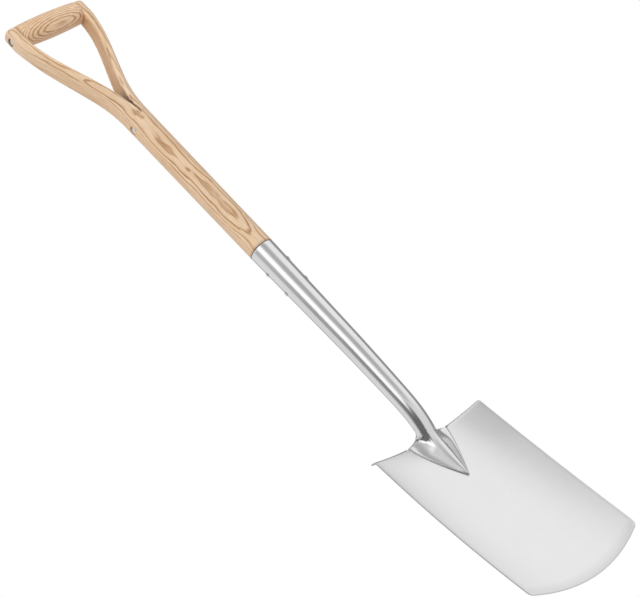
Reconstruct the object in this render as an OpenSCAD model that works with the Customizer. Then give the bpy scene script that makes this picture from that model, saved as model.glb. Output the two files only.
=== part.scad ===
// Garden spade: ash shaft with a split wishbone grip, riveted steel socket and a dished steel blade.
// Millimetres. +X is to the right, the hollow face of the blade looks to -Y and +Z runs up the shaft.
// The origin is the point under the middle of the crossbar where a hook carries the spade.

/* [Shaft and grip] */
// shaft diameter at the socket rim
shaft_d = 36; // [30:0.5:40]
// shaft diameter at the crotch, where the shaft swells
swell_d = 37.6; // [34:0.2:42]
// distance from the crossbar underside down to the socket rim
rim_drop = 442; // [360:1:520]
// distance from the crossbar underside down to the crotch of the fork
crotch_drop = 181.5; // [150:0.5:210]
// distance between the two arms at the crossbar
hand_gap = 98; // [90:1:115]
// thickness of an arm beside the crossbar
arm_t = 15.8; // [12:0.2:18]
// thickness of an arm below the crossbar
arm_slim_t = 14.2; // [10:0.2:18]
// width of the saw cut that opens into the fork
kerf = 1.6; // [0.8:0.1:3]
// how far the saw cut runs on below the crotch
kerf_run = 3; // [0:0.5:10]
// front to back depth of an arm beside the crossbar
arm_depth = 25; // [20:0.5:30]
// corner radius at the top of an arm
arm_tip_r = 7; // [4:0.5:12]
// crossbar diameter in the middle
bar_mid_d = 35.4; // [30:0.2:38]
// crossbar diameter at the ends
bar_end_d = 31.6; // [28:0.2:36]

/* [Socket and neck] */
// outside diameter of the socket rim
rim_d = 36; // [30:0.5:40]
// outside diameter of the neck where it meets the blade
neck_d = 25.2; // [20:0.2:32]
// length of the straight tapered socket
socket_len = 168; // [140:1:260]
// wall thickness of the socket
wall = 1.8; // [1.2:0.1:2.5]
// depth of the wooden tail inside the socket
tail_len = 125; // [90:1:170]
// slow backward sweep along the neck
sweep = 5; // [0:0.5:8]
// sharper crank at the lower end of the neck
crank = 8; // [4:0.5:14]
// height over which the sharper crank is made
crank_h = 62; // [40:1:90]
// length of the pointed frog on the blade, below the tread
frog_len = 79; // [50:1:100]
// width of the frog across its wings
frog_w = 63; // [50:1:80]

/* [Blade] */
// drop from the socket rim to the top of the tread
blade_drop = 325; // [280:1:380]
// blade width at the tread
blade_top_w = 181; // [150:1:200]
// blade width at the lower corners
blade_low_w = 186; // [150:1:200]
// extra half width in the middle of the blade
blade_bow = 1.4; // [0:0.1:4]
// blade length at the sides, tread bend to lower corner
blade_side_len = 264; // [200:1:300]
// extra length in the middle of the cutting edge
edge_bow = 22.5; // [0:0.5:40]
// thickness of the blade sheet
blade_t = 1.8; // [1.2:0.1:2.5]
// depth of the dish across the blade, at the tread
dish_top = 15.2; // [0:0.2:25]
// depth of the dish across the blade, at the lower corners
dish_low = 10.4; // [0:0.2:25]
// depth of the dish along the blade
long_dish = 3.5; // [0:0.5:15]
// forward lean of the blade against the shaft
blade_lean = 11.1; // [0:0.1:20]
// front of the blade corners behind the shaft axis, at the tread
blade_back = 9; // [0:0.1:20]
// rounding of the lower corners
corner_r = 5; // [2:0.5:15]

/* [Tread] */
// depth of the folded foot tread
tread_depth = 13; // [6:0.5:20]
// outer radius of the tread fold
tread_r = 4.5; // [2.5:0.5:8]
// angle of the tread fold
tread_fold = 58; // [40:1:90]
// half of the gap between the two treads
tread_gap = 35; // [30:1:50]

/* [Rivets] */
// rivet pin diameter
pin_d = 5; // [3:0.1:6]
// diameter of a domed socket rivet head
dome_d = 7; // [6:0.2:10]
// height of a domed socket rivet head
dome_h = 1.4; // [1:0.1:3]
// first socket rivet below the rim
rivet_a = 31.5; // [15:0.5:60]
// second socket rivet below the rim
rivet_b = 68.5; // [40:0.5:110]
// turn of the socket rivets about the shaft
rivet_turn = -25; // [-90:1:90]
// grip rivet below the middle of the crossbar
grip_rivet_drop = 2.5; // [0:0.5:6]
// fork rivet below the crotch
fork_rivet_drop = 12.5; // [8:0.5:30]
// washer diameter
washer_d = 10.6; // [8:0.2:14]
// washer thickness
washer_t = 1.2; // [0.8:0.1:2]
// depth of the washer seats in the wood
seat_depth = 3.2; // [1:0.1:5]
// height of a peened rivet end above its washer
peen_h = 0.8; // [0.4:0.1:2]

/* [Weld] */
// width of the weld bead on each side of the frog
bead_w = 2.6; // [1:0.1:5]
// height of the frog edge that the bead fills
bead_h = 1.6; // [0.8:0.1:3]

/* [Hidden] */
$fn = 96;
eps = 0.1;

// heights
bar_z = bar_mid_d / 2;
z_rim = -rim_drop;
z_crotch = -crotch_drop;
z_fork = z_crotch - fork_rivet_drop;
z_grip = bar_z - grip_rivet_drop;
z_neck = z_rim - socket_len;
z_tread = z_rim - blade_drop;
z_frog_tip = z_tread - frog_len;

// shaft and arms
shaft_r = shaft_d / 2;
swell_r = swell_d / 2;
arm_in_top = hand_gap / 2;
arm_out = arm_in_top + arm_t;
// the arms are parallel from this height up and start to thicken at the flare
z_parallel = 8;
flare_z = -22;
// height above the crotch over which the halves of the shaft thin down to arms
crotch_blend = 65;
// how far the arms reach down into the round shaft
overlap = 6;
// the arm ends stop this much under the top of the crossbar end
tip_drop = 0.8;
tip_half_min = 2;
arm_top = bar_z + bar_end_d / 2 - tip_drop;
// exponents: course of the inner face, fading of the depth, crowding of the rings
inner_pow = 1.04;
depth_pow = 1.5;
ring_pow = 1.5;
// how square the arm sections become, and how fast
squareness = 0.42;
square_rate = 2.5;
arm_rings = 34;
arm_arc = 14;

// rivets
fork_half = swell_r - (swell_r - shaft_r) * fork_rivet_drop / (z_crotch - z_rim);
seat_x = fork_half - seat_depth;
seat_len = 20;
seat_play = 1.2;
pin_over = 8;
peen_spread = 2;
dome_rim = 0.3;
dome_steps = 5;
head_clear = 0.07;

// socket, neck and frog
taper = (rim_d - neck_d) / 2 / blade_drop;
sweep_pow = 1.5;
crank_pow = 3;
joint_step = 0.05;
spigot_in = 0.5;
spigot_h = 1.5;
// the fillet between the neck and the wings of the frog lies between these heights
blend_top = z_tread + 8;
wing_z = z_tread - 5;
fillet_pow = 3;
// half width and ridge height at the tip, and the curves that lead there
tip_half = 0.6;
tip_lift = 0.4;
tip_r = 2;
wing_pow = 1.3;
ridge_pow = 0.72;
skirt_pow = 2.2;
// the half round of the neck turns into a rounded roof between these heights;
// roundness and hollowness of the roof at the wings and at the tip
roof_top = z_tread + 2;
roof_full = z_tread - 30;
roof_round = [0.5, 0.4];
roof_pow = [1.7, 1.05];
crowd_pow = 1.5;
cavity_z = z_tread - 42;
frog_rings = 34;
frog_pts = 36;
cavity_rings = 14;
neck_share = 15 / frog_rings;
blend_share = 8 / frog_rings;
bead_taper = 0.5;

// blade
down = [0, -sin(blade_lean), -cos(blade_lean)];
back = [0, cos(blade_lean), -sin(blade_lean)];
z_bend = z_tread - tread_r;
blade_origin = [0, blade_back, z_bend];
blade_cols = 12;
blade_rows = 16;
mid_cols = 8;
fold_rows = 4;
// share of the fold rows that lies in the bend, the others make the flat foot rest
bend_share = 0.625;

function smooth(t) = let (c = min(1, max(0, t))) c * c * (3 - 2 * c);
function mix(a, b, t) = a + (b - a) * t;
function flip(a) = [for (i = [len(a) - 1:-1:0]) a[i]];

// faces of a closed shell around rings of equal point count, first and last ring capped
function ring_faces(rings, n) = concat(
    [[for (i = [0:n - 1]) i]],
    [for (r = [0:rings - 2], i = [0:n - 1]) let (j = (i + 1) % n, a = r * n, b = a + n)
        each [[a + j, a + i, b + i], [a + j, b + i, b + j]]],
    [[for (i = [n - 1:-1:0]) (rings - 1) * n + i]]
);

// faces of a thin folded sheet: front grid first, back grid second, each rows x cols points;
// the first `fold` rows of cells exist only in the outer `side` columns of cells
function sheet_faces(rows, cols, fold, side) = let (
    n = rows * cols,
    has = function(r, c) r >= 0 && c >= 0 && r < rows - 1 && c < cols - 1
        && (r >= fold || c < side || c >= cols - 1 - side),
    cells = [for (r = [0:rows - 2], c = [0:cols - 2]) if (has(r, c)) [r, c]],
    walls = [for (k = cells) let (r = k[0], c = k[1], a = r * cols + c, b = a + cols) each concat(
        has(r - 1, c) ? [] : [[a, a + 1]],
        has(r, c + 1) ? [] : [[a + 1, b + 1]],
        has(r + 1, c) ? [] : [[b + 1, b]],
        has(r, c - 1) ? [] : [[b, a]]
    )]
) concat(
    [for (k = cells) let (a = k[0] * cols + k[1], b = a + cols)
        each [[a, a + 1, b], [a + 1, b + 1, b]]],
    [for (k = cells) let (a = n + k[0] * cols + k[1], b = a + cols)
        each [[a, b, a + 1], [a + 1, b, b + 1]]],
    [for (w = walls) each [[w[0], w[0] + n, w[1]], [w[1], w[0] + n, w[1] + n]]]
);

// ---- wishbone arms -------------------------------------------------------
function arm_t_at(z) = min(1, max(0, (z - z_crotch) / (z_parallel - z_crotch)));
function arm_in(z) = mix(kerf / 2, arm_in_top, smooth(pow(arm_t_at(z), inner_pow)));
function tip_cut(z) = let (d = max(0, z - (arm_top - arm_tip_r)))
    arm_tip_r - sqrt(max(0, arm_tip_r * arm_tip_r - d * d));
function arm_thick(z) = arm_slim_t
    + (swell_r - kerf / 2 - arm_slim_t) * (1 - smooth((z - z_crotch) / crotch_blend))
    + (arm_t - arm_slim_t) * smooth((z - flare_z) / (z_parallel - flare_z))
    - tip_cut(z);
// the arm ends are rounded over to follow the crossbar
function arm_half(z) = let (
    side = arm_depth / 2 + (swell_r - arm_depth / 2) * pow(1 - arm_t_at(z), depth_pow),
    over = arm_top - bar_z + tip_drop / 2,
    d = max(0, z - bar_z)
) min(side, sqrt(max(tip_half_min * tip_half_min, over * over - d * d)));
// outline of one arm: flat inner face, outer side going from a half circle to a rounded bar
function arm_ring(z, side) = let (
    e = 1 - squareness * smooth(square_rate * arm_t_at(z)),
    pts = [for (i = [0:arm_arc]) let (a = -90 + 180 * i / arm_arc, ca = max(0, cos(a)), sa = sin(a))
        [arm_in(z) + arm_thick(z) * pow(ca, e), arm_half(z) * sign(sa) * pow(abs(sa), e)]]
) [for (p = (side > 0 ? pts : flip(pts))) [side * p[0], p[1], z]];

module arm(side) {
    z0 = z_crotch - overlap;
    points = [for (k = [0:arm_rings]) let (t = 1 - pow(1 - k / arm_rings, ring_pow))
        each arm_ring(mix(z0, arm_top, t), side)];
    polyhedron(points, ring_faces(arm_rings + 1, arm_arc + 1));
}

module x_pin(len, d) {
    rotate([0, 90, 0])
        cylinder(h = len, d = d, center = true);
}

// round recess in the outer side of the wood, floor at distance x0
module seats(x0, z) {
    for (s = [-1, 1])
        translate([s * (x0 + seat_len / 2), 0, z])
            x_pin(seat_len, washer_d + seat_play);
}

module at_socket_rivets() {
    for (drop = [rivet_a, rivet_b])
        translate([0, 0, z_rim - drop])
            rotate([0, 0, rivet_turn])
                children();
}

function socket_r(drop) = rim_d / 2 - taper * drop;

module shaft() {
    color([0.87, 0.73, 0.55])
        difference() {
            union() {
                translate([0, 0, z_rim])
                    cylinder(h = z_crotch - z_rim, r1 = shaft_r, r2 = swell_r);
                translate([0, 0, z_rim - tail_len])
                    cylinder(h = tail_len, r1 = socket_r(tail_len) - wall, r2 = socket_r(0) - wall);
                arm(1);
                arm(-1);
            }
            at_socket_rivets()
                x_pin(shaft_d + pin_over, pin_d);
            translate([0, 0, z_fork])
                x_pin(swell_d + pin_over, pin_d);
            translate([0, 0, z_grip])
                x_pin(2 * arm_out + pin_over, pin_d);
            translate([-kerf / 2, -swell_r - 1, z_crotch - kerf_run])
                cube([kerf, 2 * swell_r + 2, kerf_run + overlap]);
            seats(seat_x, z_fork);
            seats(arm_out - seat_depth, z_grip);
        }
}

module crossbar_grip() {
    steps = 12;
    color([0.86, 0.71, 0.52])
        difference() {
            translate([0, 0, bar_z])
                rotate([0, 90, 0])
                    rotate_extrude()
                        polygon(concat(
                            [[0, -arm_in_top]],
                            [for (i = [0:steps]) let (v = -1 + 2 * i / steps)
                                [mix(bar_mid_d, bar_end_d, v * v) / 2, v * arm_in_top]],
                            [[0, arm_in_top]]
                        ));
            translate([0, 0, z_grip])
                x_pin(2 * arm_out, pin_d);
        }
}

// ---- rivets --------------------------------------------------------------
module peened_rod(seat) {
    outer = seat + washer_t;
    rotate([0, 90, 0]) {
        cylinder(h = 2 * outer, d = pin_d, center = true);
        for (s = [-1, 1])
            scale([1, 1, s])
                translate([0, 0, outer])
                    cylinder(h = peen_h, d1 = pin_d + peen_spread, d2 = pin_d);
    }
}

module grip_rivet() {
    color([0.75, 0.76, 0.77])
        translate([0, 0, z_grip])
            peened_rod(arm_out - seat_depth);
}

module fork_rivet() {
    color([0.75, 0.76, 0.77])
        translate([0, 0, z_fork])
            peened_rod(seat_x);
}

module washer_pair(seat, z) {
    for (s = [-1, 1])
        translate([s * (seat + washer_t / 2), 0, z])
            difference() {
                x_pin(washer_t, washer_d);
                x_pin(washer_t + 2, pin_d);
            }
}

module rivet_washers() {
    color([0.78, 0.79, 0.80]) {
        washer_pair(arm_out - seat_depth, z_grip);
        washer_pair(seat_x, z_fork);
    }
}

// a rivet with a low domed head on both ends; half_len is half of the grip between the heads
module domed_rod(half_len) {
    dome = [for (i = [0:dome_steps]) let (a = 90 * i / dome_steps)
        [max(0, dome_d / 2 * cos(a)), half_len + dome_rim + (dome_h - dome_rim) * sin(a)]];
    rotate([0, 90, 0])
        rotate_extrude()
            polygon(concat(
                [for (p = dome) [p[0], -p[1]]],
                flip([for (p = dome) p]),
                [[dome_d / 2, half_len], [pin_d / 2, half_len]],
                [[pin_d / 2, -half_len], [dome_d / 2, -half_len]]
            ));
}

module socket_rivets() {
    color([0.75, 0.76, 0.77])
        for (drop = [rivet_a, rivet_b])
            translate([0, 0, z_rim - drop])
                rotate([0, 0, rivet_turn])
                    domed_rod(socket_r(drop) + head_clear);
}

// ---- blade ---------------------------------------------------------------
// the sheet is described by u across (-1 to 1) and s down the blade from the tread bend;
// n is the distance behind the front face
function half_w(t) = mix(blade_top_w, blade_low_w, t) / 2 + 4 * blade_bow * t * (1 - t);
function dish_at(t) = mix(dish_top, dish_low, t);
function dent(u, t) = dish_at(t) * (1 - u * u) + 4 * long_dish * t * (1 - t);
function corner_cut(u) = let (d = max(0, abs(u) * half_w(1) - half_w(1) + corner_r))
    corner_r - sqrt(max(0, corner_r * corner_r - d * d));
function edge_s(u) = blade_side_len + edge_bow * (1 - u * u) - corner_cut(u);
function sheet_pt(u, s, n) = let (
    t = s / blade_side_len,
    w = half_w(t),
    gx = -2 * dish_at(t) * u / w,
    gs = 4 * long_dish * (1 - 2 * t) / blade_side_len,
    m = sqrt(1 + gx * gx + gs * gs)
) blade_origin + [u * w - n * gx / m, 0, 0] + down * (s - n * gs / m) + back * (dent(u, t) + n / m);
// fold of the tread: k = 0 at the bend start, 1 at the back lip
function fold_pt(u, k, n) = let (
    bend = min(1, k / bend_share),
    run = max(0, k - bend_share) / (1 - bend_share) * (tread_depth - tread_r),
    a = tread_fold * bend,
    r = tread_r - n
) blade_origin + [u * half_w(0), 0, 0]
    + down * -(r * sin(a) + run * cos(a))
    + back * (dish_top * (1 - u * u) + tread_r - r * cos(a) + run * sin(a));
// position of a blade row: negative rows climb into the fold
function row_pt(u, j, n) = j < 0
    ? fold_pt(u, -j / fold_rows, n)
    : sheet_pt(u, edge_s(u) * j / blade_rows, n);
gap_u = tread_gap / half_w(0);
// columns crowd toward the outer edge so that the lower corner stays round
side_u = [for (i = [0:blade_cols]) mix(gap_u, 1, sin(90 * i / blade_cols))];
mid_u = [for (i = [1:mid_cols - 1]) gap_u * (-1 + 2 * i / mid_cols)];

module blade() {
    us = concat([for (u = flip(side_u)) -u], mid_u, side_u);
    points = [for (n = [0, blade_t], j = [-fold_rows:blade_rows], u = us) row_pt(u, j, n)];
    color([0.82, 0.83, 0.84])
        polyhedron(points, sheet_faces(fold_rows + blade_rows + 1, len(us), fold_rows, blade_cols));
}

// ---- neck and frog -------------------------------------------------------
// front surface of the blade at height z, shifted to the front by the gap g
function blade_y(x, z, g) = let (
    s = (z_bend - z) / cos(blade_lean),
    t = s / blade_side_len,
    w = half_w(max(0, t))
) blade_back - (z_bend - z) * tan(blade_lean)
    + (dish_at(t) * (1 - x * x / w / w) + 4 * long_dish * t * (1 - t)) / cos(blade_lean) - g;

function neck_t(z) = max(0, (z_neck - z) / (z_neck - z_tread));
function crank_y(z) = sweep * pow(neck_t(z), sweep_pow)
    + crank * pow(max(0, (z_tread + crank_h - z) / crank_h), crank_pow);
function neck_r(z) = socket_r(z_rim - z) - joint_step;
function frog_t(z) = min(1, max(0, (wing_z - z) / (wing_z - z_frog_tip)));
function frog_half(z) = mix(frog_w / 2, tip_half, pow(frog_t(z), wing_pow));
// ring heights: even along the neck, close together through the fillet, even along the frog
function frog_z(k) = k < neck_share ? mix(z_neck, blend_top, k / neck_share)
    : k < neck_share + blend_share ? mix(blend_top, wing_z, (k - neck_share) / blend_share)
    : mix(wing_z, z_frog_tip, (k - neck_share - blend_share) / (1 - neck_share - blend_share));
// the round neck spreads into the wings of the frog through a short fillet
function wing_half(z) = let (f = max(0, (blend_top - z) / (blend_top - wing_z)))
    z < wing_z ? frog_half(z) : mix(neck_r(z), frog_w / 2, pow(f, fillet_pow));
function spread(z) = smooth((blend_top - z) / (blend_top - wing_z));
// the ridge of the frog: radius of its rounded front, and height of that round's centre above the blade
function ridge_r(z) = mix(neck_r(max(z, wing_z)), tip_r, pow(frog_t(z), ridge_pow));
function ridge_lift(z) = z > wing_z
    ? blade_y(0, z, eps) - crank_y(z)
    : mix(blade_y(0, wing_z, eps) - crank_y(wing_z), tip_lift, pow(frog_t(z), ridge_pow));
function half_round(r, x) = sqrt(max(0, r * r - x * x));
// height of the outside above the blade at a distance x from the middle
function skirt_height(x, r, w, lift, edge) = x < r
    ? lift + half_round(r, x)
    : edge + (lift - edge) * pow(max(0, 1 - (x - r) / (w - r + 0.01)), skirt_pow);
function roof_height(x, t, r, w, lift, edge) = let (
    c = mix(roof_round[0], roof_round[1], t),
    fall = (norm([x / w, c]) - c) / (norm([1, c]) - c)
) edge + (lift + r - edge) * pow(max(0, 1 - fall), mix(roof_pow[0], roof_pow[1], t));
function frog_height(x, z, r, w, lift, edge) = mix(
    skirt_height(x, r, w, lift, edge),
    roof_height(x, frog_t(z), r, w, lift, edge),
    smooth((roof_top - z) / (roof_top - roof_full))
);
// ring angles crowd toward the ridge where the wings are wide
function crowd(v, m) = sign(v) * pow(abs(v), mix(1, crowd_pow, m));
// one ring of the neck: sin(a) < 0 is the front, the rest is the rear, which lies on the blade
function frog_ring(z) = let (r = ridge_r(z), w = wing_half(z), m = spread(z), lift = ridge_lift(z))
    [for (i = [0:frog_pts - 1]) let (
        a = 360 * i / frog_pts,
        x = w * crowd(cos(a), m),
        base = blade_y(0, z, eps) + m * (blade_y(x, z, eps) - blade_y(0, z, eps)),
        front = base - frog_height(abs(x), z, r, w, lift, mix(lift, bead_h, m)),
        rear = mix(crank_y(z) + half_round(neck_r(z), x), base, m)
    ) [x, sin(a) < -0.001 ? front : rear, z]];
function round_ring(z, r) = [for (i = [0:frog_pts - 1]) let (a = 360 * i / frog_pts)
    [r * cos(a), r * sin(a), z]];
// the hollow inside the neck follows one wall thickness behind the outside
function cavity_ring(z) = let (r = ridge_r(z) - wall - joint_step, m = spread(z), lift = ridge_lift(z))
    [for (i = [0:frog_pts - 1]) let (
        a = 360 * i / frog_pts,
        x = r * cos(a),
        base = blade_y(0, z, eps),
        front = base - lift - half_round(r, x),
        rear = mix(crank_y(z) + half_round(r, x), base - wall, m)
    ) [x, sin(a) < -0.001 ? front : rear, z]];

module socket_neck() {
    top_r = socket_r(socket_len);
    rings = concat(
        [for (k = [0:frog_rings]) each frog_ring(frog_z(1 - k / frog_rings))],
        round_ring(z_neck, top_r - spigot_in),
        round_ring(z_neck + spigot_h, top_r - spigot_in),
        round_ring(z_neck + spigot_h, top_r - wall + spigot_in),
        round_ring(z_neck, top_r - wall + spigot_in),
        [for (k = [0:cavity_rings]) each cavity_ring(mix(z_neck, cavity_z, k / cavity_rings))]
    );
    color([0.80, 0.81, 0.82]) {
        difference() {
            translate([0, 0, z_neck])
                cylinder(h = socket_len, r1 = top_r, r2 = rim_d / 2);
            translate([0, 0, z_neck - 1])
                cylinder(h = socket_len + 2, r1 = top_r - wall - taper, r2 = rim_d / 2 - wall + taper);
            at_socket_rivets()
                x_pin(rim_d + pin_over, pin_d);
        }
        polyhedron(rings, ring_faces(frog_rings + cavity_rings + 6, frog_pts));
    }
}

// one weld bead: a fillet between the frog edge and the blade, down one side of the frog
module bead(side) {
    points = [for (k = [0:frog_rings]) let (z = frog_z(1 - k / frog_rings))
        if (z <= wing_z + eps) each bead_ring(z, side)];
    n = len(points) / 3;
    polyhedron(points, ring_faces(n, 3));
}

function bead_ring(z, side) = let (
    x = frog_half(z),
    far = x + bead_w * (1 - bead_taper * frog_t(z)),
    a = [side * x, blade_y(x, z, eps), z],
    b = [side * x, blade_y(x, z, eps) - bead_h, z],
    c = [side * far, blade_y(far, z, eps), z]
) side > 0 ? [a, b, c] : [a, c, b];

module weld_bead() {
    color([0.70, 0.71, 0.72]) {
        bead(1);
        bead(-1);
    }
}

shaft();
crossbar_grip();
grip_rivet();
fork_rivet();
rivet_washers();
socket_neck();
socket_rivets();
blade();
weld_bead();
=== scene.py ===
import math
import bpy
import bmesh
from mathutils import Matrix, Vector


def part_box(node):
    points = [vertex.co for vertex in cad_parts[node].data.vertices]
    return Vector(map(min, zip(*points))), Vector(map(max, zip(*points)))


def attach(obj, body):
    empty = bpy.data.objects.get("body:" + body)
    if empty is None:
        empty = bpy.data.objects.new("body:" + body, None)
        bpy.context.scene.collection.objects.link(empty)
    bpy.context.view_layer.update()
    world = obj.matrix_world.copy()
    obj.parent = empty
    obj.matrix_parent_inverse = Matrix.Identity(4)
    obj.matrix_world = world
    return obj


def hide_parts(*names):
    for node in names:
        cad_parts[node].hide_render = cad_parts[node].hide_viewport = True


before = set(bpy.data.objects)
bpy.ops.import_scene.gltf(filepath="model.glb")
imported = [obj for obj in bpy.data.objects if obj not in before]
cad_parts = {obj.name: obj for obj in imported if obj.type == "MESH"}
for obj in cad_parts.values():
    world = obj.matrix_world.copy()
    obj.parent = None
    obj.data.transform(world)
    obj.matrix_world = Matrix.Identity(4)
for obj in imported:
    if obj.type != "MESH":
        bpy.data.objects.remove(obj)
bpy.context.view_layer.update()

MM = 0.001                # lengths are in millimetres down to the camera; meshes are scaled when made


# ---------------------------------------------------------------- dimensions
def box_mm(node):
    lo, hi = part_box(node)
    return lo / MM, hi / MM


bar_lo, bar_hi = box_mm("crossbar_grip")
shaft_lo, shaft_hi = box_mm("shaft")
neck_lo, neck_hi = box_mm("socket_neck")
fork_lo, fork_hi = box_mm("fork_rivet")
rod_lo, rod_hi = box_mm("grip_rivet")

SHAFT_R = 18.0                        # at the socket rim
SWELL_R = 18.8                        # at the crotch
BAR_Z = (bar_lo.z + bar_hi.z) / 2
BAR_MID_R = bar_hi.y
BAR_END_R = 15.8
BAR_PLAY = 0.03                       # gap at each end of the crossbar
BAR_CHAMFER = 1.2                     # radius of its rounded end edges
ARM_IN = bar_hi.x                     # inner face of an arm beside the crossbar
ARM_OUT = shaft_hi.x
ARM_TOP = shaft_hi.z
ARM_T = ARM_OUT - ARM_IN
ARM_SLIM_T = 14.2                     # thickness of an arm below the crossbar
ARM_HALF = 12.5                       # half the depth of an arm beside the crossbar
ARM_TIP_R = 7.0
ARM_TOP_PLAY = 0.4                    # the arms' upper curve is this much wider than the top allows
ARM_TOP_BLEND = 3.0
ARM_SPREAD_POW, ARM_DEPTH_POW = 1.04, 1.5
SQUARENESS = 0.42                     # 0 for a round outside of the arms
CORNER_LOW_R, CORNER_HIGH_R = 0.25, 2.8   # inner corners of an arm at the crotch and further up
CORNER_RISE = 30.0                    # the height between the two
KERF = 1.6                            # width of the saw cut
KERF_RUN = 3.0                        # length of the saw cut below the crotch
Z_CROTCH = -181.5
Z_PARALLEL = 8.0                      # the arms are parallel from here up
FLARE_Z = -22.0                       # the arms thicken from here up
CROTCH_BLEND = 65.0                   # height over which the halves of the shaft thin down to arms
Z_GRIP = (rod_lo.z + rod_hi.z) / 2
Z_SLOT = Z_CROTCH - KERF_RUN
Z_FORK = (fork_lo.z + fork_hi.z) / 2
Z_RIM = neck_hi.z
Z_TAIL = shaft_lo.z
Z_NECK = Z_RIM - 168.0                # the neck starts to bend here
Z_TREAD = Z_RIM - 325.0               # top of the blade
Z_TIP = neck_lo.z                     # lower tip of the frog
FROG_W = neck_hi.x - neck_lo.x
RIM_R = 18.0
NECK_R = 12.6                         # at the tread
WALL = 1.8
TAIL_LOW_R, TAIL_R = 12.9, 16.15      # the shaft's tail at its lower end and just inside the rim
SWEEP = 5.0                           # slow backward sweep along the neck
CRANK, CRANK_H = 8.0, 62.0            # sharper crank at its lower end, and the height it takes
FROG_TIP_R, FROG_TIP_HALF, FROG_TIP_LIFT = 2.0, 0.6, 0.4
WING_POW = 1.3                        # course of the frog's outline from the wings to the tip
RIDGE_POW = 0.72                      # course of its ridge: below 1 it is hollow
FILLET_POW, SKIRT_POW = 3, 2.2        # how the neck widens into the wings, and how its skirt falls
ROOF_ROUND = (0.5, 0.4)               # rounding of the frog's roof at the wings and at the tip
ROOF_POW = (1.7, 1.05)                # hollowness of its flanks there: 1 for straight ones
CROWD_POW = 1.5                       # crowding of the frog's points towards its middle
FILLET_TOP = Z_TREAD + 8.0            # the fillet between the neck and the wings starts here
ROOF_TOP = Z_TREAD + 2.0              # between these heights the half round of the neck turns into a
ROOF_FULL = Z_TREAD - 30.0            # rounded roof
WING_Z = Z_TREAD - 5.0                # the frog is widest here
BEAD_W = 2.6                          # width and height of a weld bead at the wings
BEAD_H = 1.6

BLADE_T = 1.8
BLADE_TOP_W = 181.0
BLADE_LOW_W = 186.0
BLADE_BOW = 1.4                       # bow of each side
BLADE_SIDE = 264.0                    # length of each side
EDGE_BOW = 22.5                       # bow of the cutting edge
DISH_TOP = 15.2                       # depth of the blade's hollow across, at the top and at the foot
DISH_LOW = 10.4
LONG_DISH = 3.5                       # depth of its hollow along
LEAN = math.radians(11.1)
BLADE_BACK = 9.0                      # how far the front face lies behind the shaft's axis at the top
CORNER_R = 5.0
EDGE_GROUND = 4.5                     # width of the ground cutting edge
EDGE_TAKEN = 0.95                     # thickness that is ground away there
SHEET_EDGE_R = 0.45
TREAD_R = 4.5
TREAD_DEPTH = 13.0
TREAD_FOLD = math.radians(58.0)
TREAD_GAP = 35.0                      # half the gap between the treads
Z_BEND = Z_TREAD - TREAD_R

SEAT_DEPTH = 3.2                      # round seats of the washers in the wood
SEAT_R = 5.9
WASHER_R = 5.3
WASHER_T = 1.2
PIN_R = 2.5
PEEN_H = 0.8                          # peened ends of the rods
PEEN_R = PIN_R + 1.05
DOME_R = 3.5                          # domed heads of the socket rivets
DOME_H = 1.4
RIVET_DROPS = (31.5, 68.5)            # depth of the socket rivets below the rim
RIVET_TURN = math.radians(-25.0)


# ---------------------------------------------------------------- small maths
def clamp(v, lo=0.0, hi=1.0):
    return min(hi, max(lo, v))


def smooth(t):
    c = clamp(t)
    return c * c * (3 - 2 * c)


def mix(a, b, t):
    return a + (b - a) * t


def spow(v, e):
    """A power that keeps the sign."""
    return math.copysign(abs(v) ** e, v)


def steps(a, b, n):
    """n + 1 even steps from a to b."""
    return [mix(a, b, i / n) for i in range(n + 1)]


def circle(n):
    """n even angles round a circle."""
    return steps(0, 2 * math.pi, n)[:-1]


def soft_min(a, b, k):
    """The smaller of two lengths, blended over k where they are close."""
    h = clamp(0.5 + 0.5 * (b - a) / k)
    return mix(b, a, h) - k * h * (1 - h)


# ---------------------------------------------------------------- mesh helpers
SHARP_WOOD, SHARP_STEEL, SHARP_WELD = 50, 35, 60   # edges above these angles stay sharp
SEAT_SIDES, ROD_SIDES, WASHER_SIDES, BAR_SIDES = 48, 40, 56, 72


def make_mesh(name, verts, faces, sharp, grain=None, shade_and_wear=None):
    """A mesh object from points in millimetres. grain holds the straight-grained place of each point,
    shade_and_wear how much painted shade and wear each point carries."""
    mesh = bpy.data.meshes.new(name)
    mesh.from_pydata([tuple(c * MM for c in v) for v in verts], [], faces)
    for key, values in (("grain", grain), ("shade_and_wear", shade_and_wear)):
        if values:
            layer = mesh.attributes.new(key, "FLOAT_VECTOR", "POINT")
            layer.data.foreach_set("vector", [c for value in values for c in value])
    obj = bpy.data.objects.new(name, mesh)
    bpy.context.scene.collection.objects.link(obj)
    clean(mesh)
    shade(mesh, sharp)
    return obj


def clean(mesh):
    """Join points that coincide, drop empty faces and turn all faces outwards."""
    bm = bmesh.new()
    bm.from_mesh(mesh)
    bmesh.ops.remove_doubles(bm, verts=bm.verts, dist=2e-6)
    bmesh.ops.dissolve_degenerate(bm, dist=1e-7, edges=bm.edges)
    bmesh.ops.recalc_face_normals(bm, faces=bm.faces)
    bm.to_mesh(mesh)
    bm.free()


def strip_loose(mesh):
    """Remove the points that no face uses."""
    bm = bmesh.new()
    bm.from_mesh(mesh)
    bmesh.ops.delete(bm, geom=[v for v in bm.verts if not v.link_faces], context="VERTS")
    bm.to_mesh(mesh)
    bm.free()


def shade(mesh, sharp):
    """Smooth shading, with sharp edges above an angle in degrees."""
    mesh.shade_smooth()
    mesh.set_sharp_from_angle(angle=math.radians(sharp))


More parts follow.
